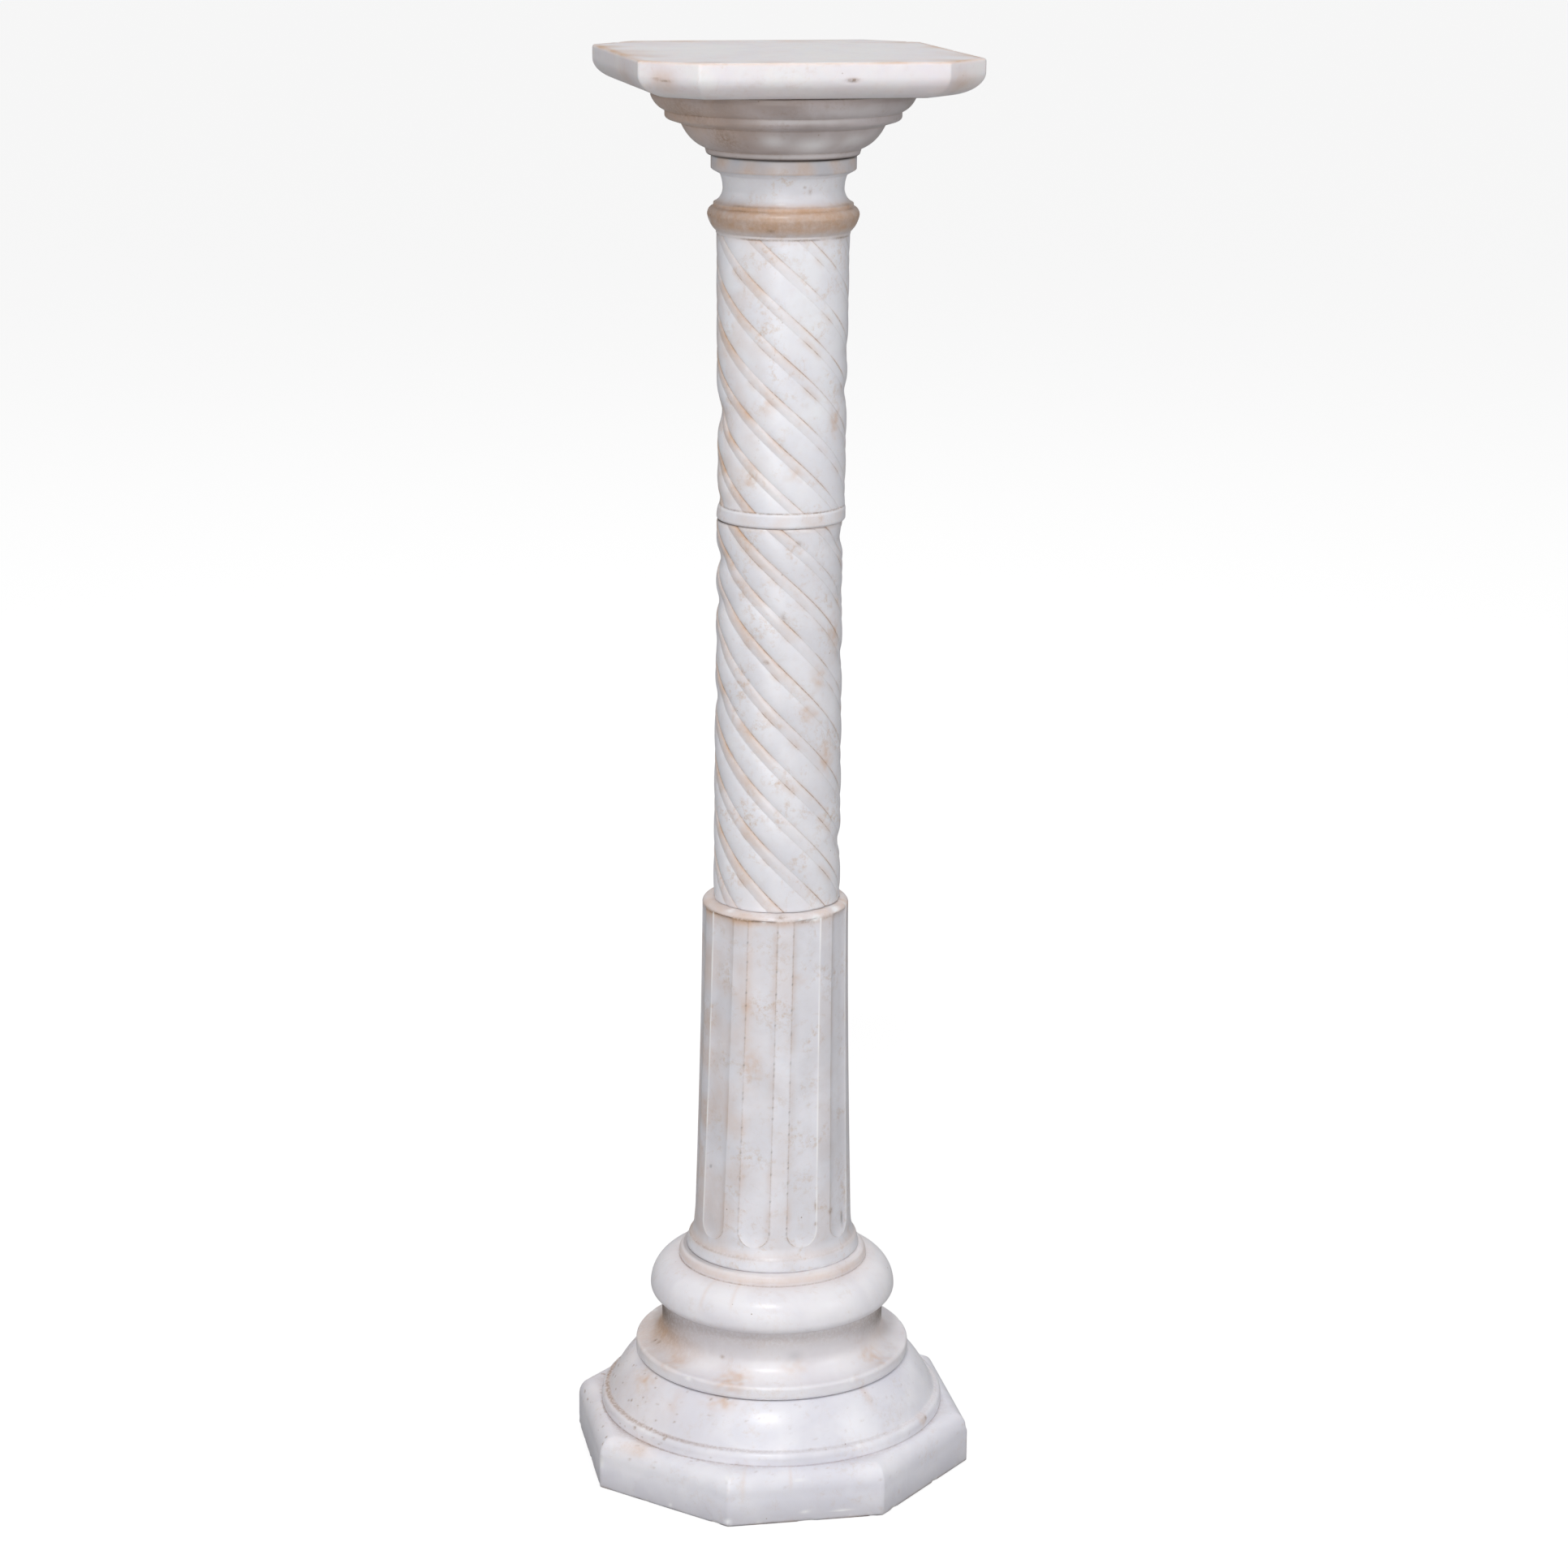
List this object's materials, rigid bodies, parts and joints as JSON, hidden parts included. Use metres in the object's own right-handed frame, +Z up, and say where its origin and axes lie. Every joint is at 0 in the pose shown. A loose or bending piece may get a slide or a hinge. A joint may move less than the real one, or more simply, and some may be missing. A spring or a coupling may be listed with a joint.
{
  "type": "barley twist column",
  "caption": "Pedestal column in alabaster with a twisted shaft, a fluted drum, an octagonal plinth and a square top slab with cut corners.",
  "frame": {"origin": "centre of the plinth's underside, on the ground", "axes": "+Z up along the column; X and Y square to the plinth's flats, and the pictured side faces about -Y"},
  "size_m": [0.286, 0.286, 1.07],
  "materials": {
    "top_slab": "polished alabaster",
    "capital": "polished alabaster",
    "upper_shaft": "polished alabaster",
    "lower_shaft": "polished alabaster",
    "fluted_drum": "polished alabaster",
    "base_moulding": "polished alabaster",
    "plinth": "polished alabaster"
  },
  "bodies": {
    "root": {"top_slab": "top_slab", "capital": "capital", "upper_shaft": "upper_shaft", "lower_shaft": "lower_shaft", "fluted_drum": "fluted_drum", "base_moulding": "base_moulding", "plinth": "plinth"}
  },
  "joints": []
}
